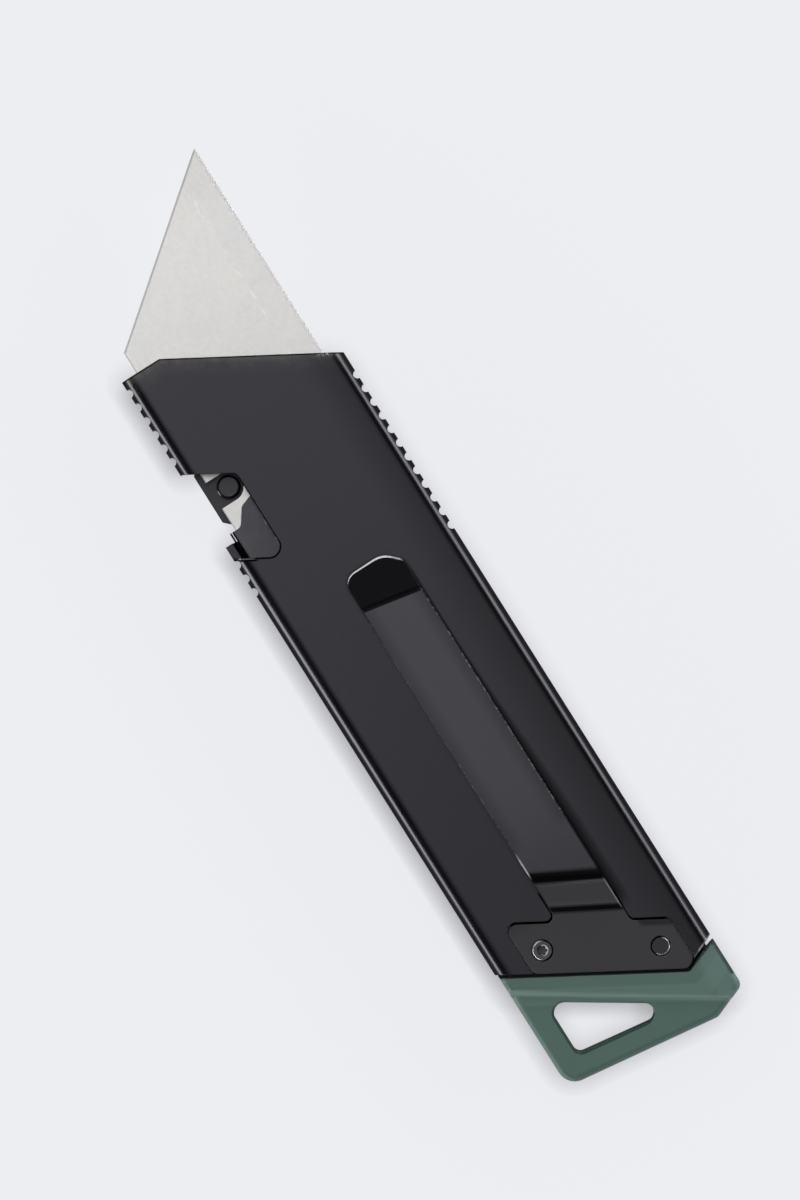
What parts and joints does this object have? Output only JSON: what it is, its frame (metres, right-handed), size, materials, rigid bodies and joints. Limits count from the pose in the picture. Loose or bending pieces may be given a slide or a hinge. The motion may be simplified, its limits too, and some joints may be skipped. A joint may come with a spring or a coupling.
{
  "type": "utility knife",
  "caption": "Slim retractable utility knife: folded steel sleeve, sliding carrier with trapezoid blade, thumb slider, blade release leaf, pocket clip and end cap with lanyard hole.",
  "frame": {"origin": "centre of the knife's length and width, at the level of the thumb button's crown, its lowest point", "axes": "+X along the knife towards the blade tip, +Y towards the blade's back, +Z out of the clip side"},
  "size_m": [0.1143, 0.023, 0.0105],
  "materials": {
    "black_steel": "satin black oxide finish",
    "dark_steel": "satin dark finish",
    "spring_steel": "blued spring temper",
    "fastener_steel": "dark plated",
    "insert_brass": "turned",
    "blade_steel": "ground",
    "black_polymer": "moulded, fine texture",
    "green_polymer": "moulded, smooth satin"
  },
  "bodies": {
    "sleeve_body": {"sleeve": "black_steel", "track_plate": "dark_steel", "track_rivets": "dark_steel", "end_cap": "green_polymer", "pocket_clip": "black_steel", "clip_screw": "fastener_steel", "screw_insert": "insert_brass", "clip_rivet": "fastener_steel"},
    "carrier": {"blade_carrier": "dark_steel", "blade": "blade_steel", "glide_buttons": "black_polymer", "runner": "black_polymer", "runner_rivets": "fastener_steel", "lock_spring": "spring_steel", "leaf_rivets": "fastener_steel"},
    "button": {"thumb_button": "black_polymer", "button_post": "fastener_steel"},
    "release": {"release_leaf": "dark_steel", "notch_pin": "dark_steel"}
  },
  "joints": [
    {"name": "blade_slide", "type": "slide", "parent": "sleeve_body", "child": "carrier", "axis": [-1, 0, 0], "range_m": [0, 0.029]},
    {"name": "button_press", "type": "slide", "parent": "carrier", "child": "button", "axis": [0, 0, 1], "range_m": [0, 0.0008], "stiffness_N_per_m": 1200, "springref_m": -0.001, "deforming": ["lock_spring"]},
    {"name": "leaf_press", "type": "hinge", "parent": "carrier", "child": "release", "pos_m": [0.0035, 0.0065, 0.00385], "axis": [0, 1, 0], "range_deg": [0, 2.1], "stiffness_Nm_per_rad": 0.8, "springref_deg": -1.15}
  ]
}
